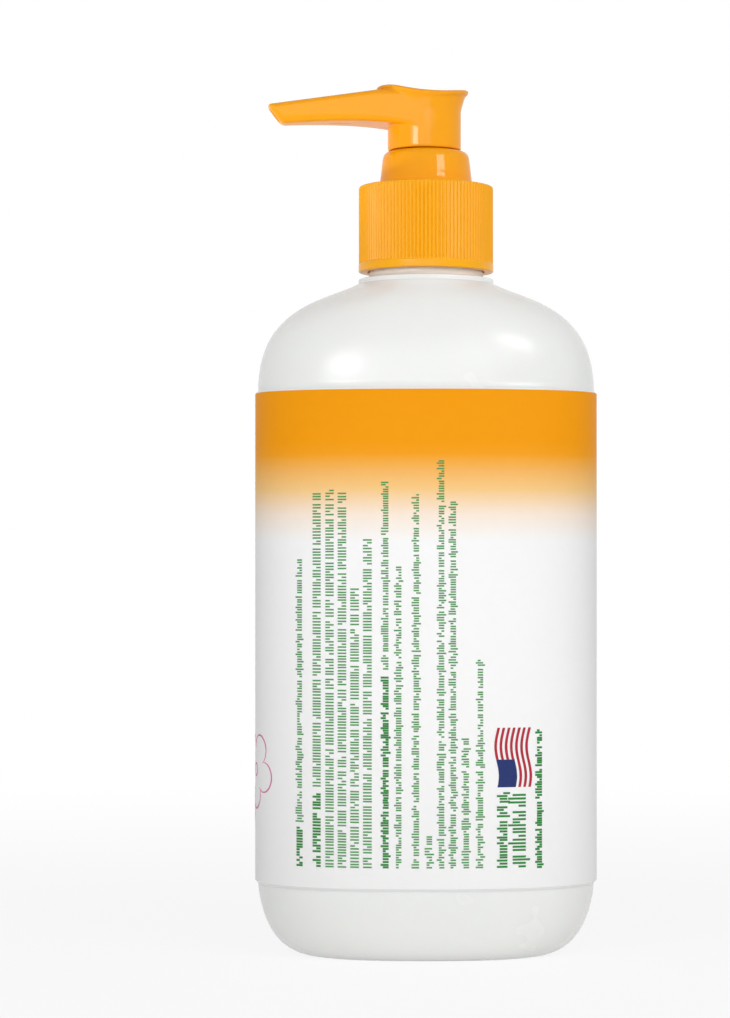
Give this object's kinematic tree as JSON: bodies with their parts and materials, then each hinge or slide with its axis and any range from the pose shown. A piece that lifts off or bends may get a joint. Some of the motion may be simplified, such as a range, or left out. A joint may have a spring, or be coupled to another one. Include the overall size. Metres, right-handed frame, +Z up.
{
  "type": "liquid soap bottle",
  "caption": "Oval white plastic soap bottle with a wrap-round label, a ribbed orange screw closure and a lock-down dispensing pump with a long spout.",
  "frame": {"origin": "centre of the base on the surface that the bottle stands on", "axes": "+Z up along the pump's axis; +X across the bottle's width with the spout toward -X; +Y through its depth, away from the picture's camera"},
  "size_m": [0.0842, 0.0512, 0.213],
  "materials": {
    "bottle_plastic": "satin blown polyethylene",
    "label_film": "printed film, orange at the top fading to white",
    "orange_plastic": "moulded polypropylene with fine ribs",
    "orange_gloss": "glossy moulded polypropylene",
    "natural_plastic": "natural moulded polypropylene",
    "seal_plastic": "soft white polyethylene",
    "tube_plastic": "extruded polyethylene",
    "spring_steel": "drawn stainless wire",
    "ball_steel": "polished stainless steel"
  },
  "bodies": {
    "bottle": {"bottle": "bottle_plastic", "label": "label_film"},
    "pump": {"housing": "natural_plastic", "collar": "orange_gloss", "gasket": "seal_plastic", "ball_cage": "natural_plastic", "dip_tube": "tube_plastic", "spring": "spring_steel"},
    "closure": {"closure": "orange_plastic"},
    "plunger": {"piston": "seal_plastic"},
    "head": {"head": "orange_gloss", "stem": "natural_plastic", "valve_plug": "natural_plastic"},
    "inlet_ball": {"inlet_ball": "ball_steel"}
  },
  "joints": [
    {"name": "pump_rise", "type": "slide", "parent": "bottle", "child": "pump", "axis": [0, 0, 1], "range_m": [0, 0.00635]},
    {"name": "closure_turn", "type": "hinge", "parent": "pump", "child": "closure", "pos_m": [0, 0, 0.178], "axis": [0, 0, 1], "range_deg": [0, 540]},
    {"name": "pump_stroke", "type": "slide", "parent": "pump", "child": "plunger", "axis": [0, 0, 1], "range_m": [0, 0.014], "stiffness_N_per_m": 900, "springref_m": 0.025, "deforming": ["spring"]},
    {"name": "head_turn", "type": "hinge", "parent": "plunger", "child": "head", "pos_m": [0, 0, 0.2], "axis": [0, 0, 1], "continuous": true},
    {"name": "ball_lift", "type": "slide", "parent": "pump", "child": "inlet_ball", "axis": [0, 0, 1], "range_m": [0, 0.0011]}
  ],
  "couplings": [
    {"joint": "pump_rise", "follows": "closure_turn", "m_per_rad": 0.00067374}
  ]
}
